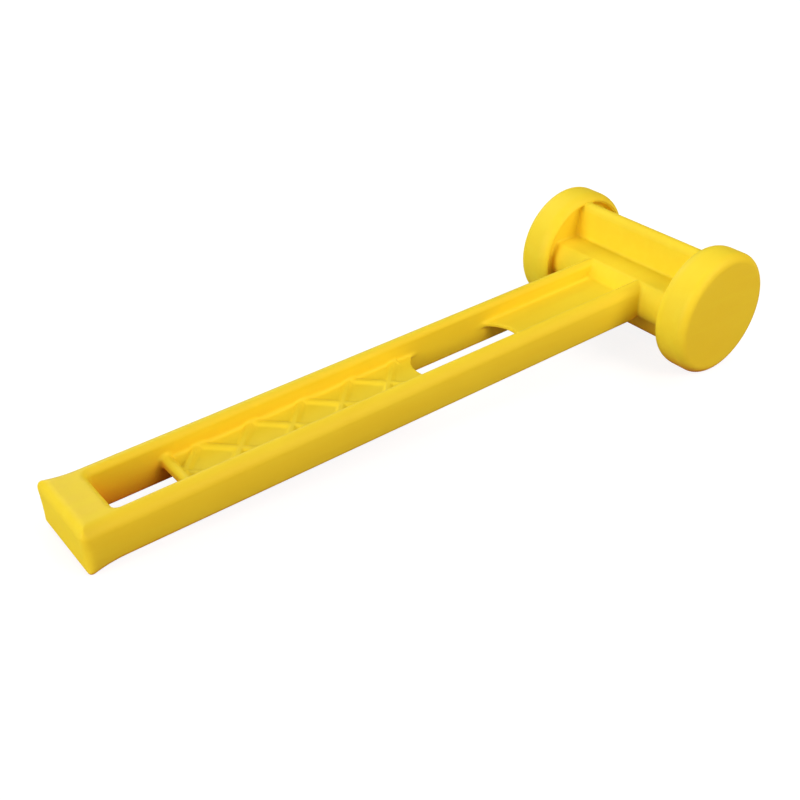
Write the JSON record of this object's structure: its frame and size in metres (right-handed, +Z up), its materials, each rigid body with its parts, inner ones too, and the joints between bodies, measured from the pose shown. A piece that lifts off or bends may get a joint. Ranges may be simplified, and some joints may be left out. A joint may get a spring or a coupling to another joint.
{
  "type": "dead blow mallet",
  "caption": "Yellow plastic mallet with a round drum at each end of a ribbed bar head, loose shot sealed in both drums, and a flat I-section handle with a long slot and a hanging slot.",
  "frame": {"origin": "middle of the bottom of the mallet's box, on the floor it lies on", "axes": "+Y from the butt of the handle towards the head, +X along the striking axis, +Z up from the floor; the mallet lies on its two drums and the lower edge of its butt"},
  "size_m": [0.097, 0.2998, 0.0549],
  "materials": {
    "yellow_plastic": "semi-gloss waxy moulded plastic",
    "canister_steel": "drawn sheet steel",
    "shot_steel": "tumbled steel shot"
  },
  "bodies": {
    "mallet": {"handle_frame": "yellow_plastic", "striking_cap_right": "yellow_plastic", "striking_cap_left": "yellow_plastic", "shot_canister_right": "canister_steel", "shot_canister_left": "canister_steel", "canister_lid_right": "canister_steel", "canister_lid_left": "canister_steel"},
    "shot_right": {"shot_right_01": "shot_steel", "shot_right_02": "shot_steel", "shot_right_03": "shot_steel", "shot_right_04": "shot_steel", "shot_right_05": "shot_steel", "shot_right_06": "shot_steel", "shot_right_07": "shot_steel", "shot_right_08": "shot_steel", "shot_right_09": "shot_steel", "shot_right_10": "shot_steel", "shot_right_11": "shot_steel", "shot_right_12": "shot_steel", "shot_right_13": "shot_steel", "shot_right_14": "shot_steel", "shot_right_15": "shot_steel", "shot_right_16": "shot_steel", "shot_right_17": "shot_steel", "shot_right_18": "shot_steel", "shot_right_19": "shot_steel", "shot_right_20": "shot_steel", "shot_right_21": "shot_steel", "shot_right_22": "shot_steel", "shot_right_23": "shot_steel", "shot_right_24": "shot_steel", "shot_right_25": "shot_steel", "shot_right_26": "shot_steel"},
    "shot_left": {"shot_left_01": "shot_steel", "shot_left_02": "shot_steel", "shot_left_03": "shot_steel", "shot_left_04": "shot_steel", "shot_left_05": "shot_steel", "shot_left_06": "shot_steel", "shot_left_07": "shot_steel", "shot_left_08": "shot_steel", "shot_left_09": "shot_steel", "shot_left_10": "shot_steel", "shot_left_11": "shot_steel", "shot_left_12": "shot_steel", "shot_left_13": "shot_steel", "shot_left_14": "shot_steel", "shot_left_15": "shot_steel", "shot_left_16": "shot_steel", "shot_left_17": "shot_steel", "shot_left_18": "shot_steel", "shot_left_19": "shot_steel", "shot_left_20": "shot_steel", "shot_left_21": "shot_steel", "shot_left_22": "shot_steel", "shot_left_23": "shot_steel", "shot_left_24": "shot_steel", "shot_left_25": "shot_steel", "shot_left_26": "shot_steel"}
  },
  "joints": [
    {"name": "shot_slide_right", "type": "slide", "parent": "mallet", "child": "shot_right", "axis": [1, 0, 0], "range_m": [-0.001, 0.001]},
    {"name": "shot_slide_left", "type": "slide", "parent": "mallet", "child": "shot_left", "axis": [1, 0, 0], "range_m": [-0.001, 0.001]}
  ]
}
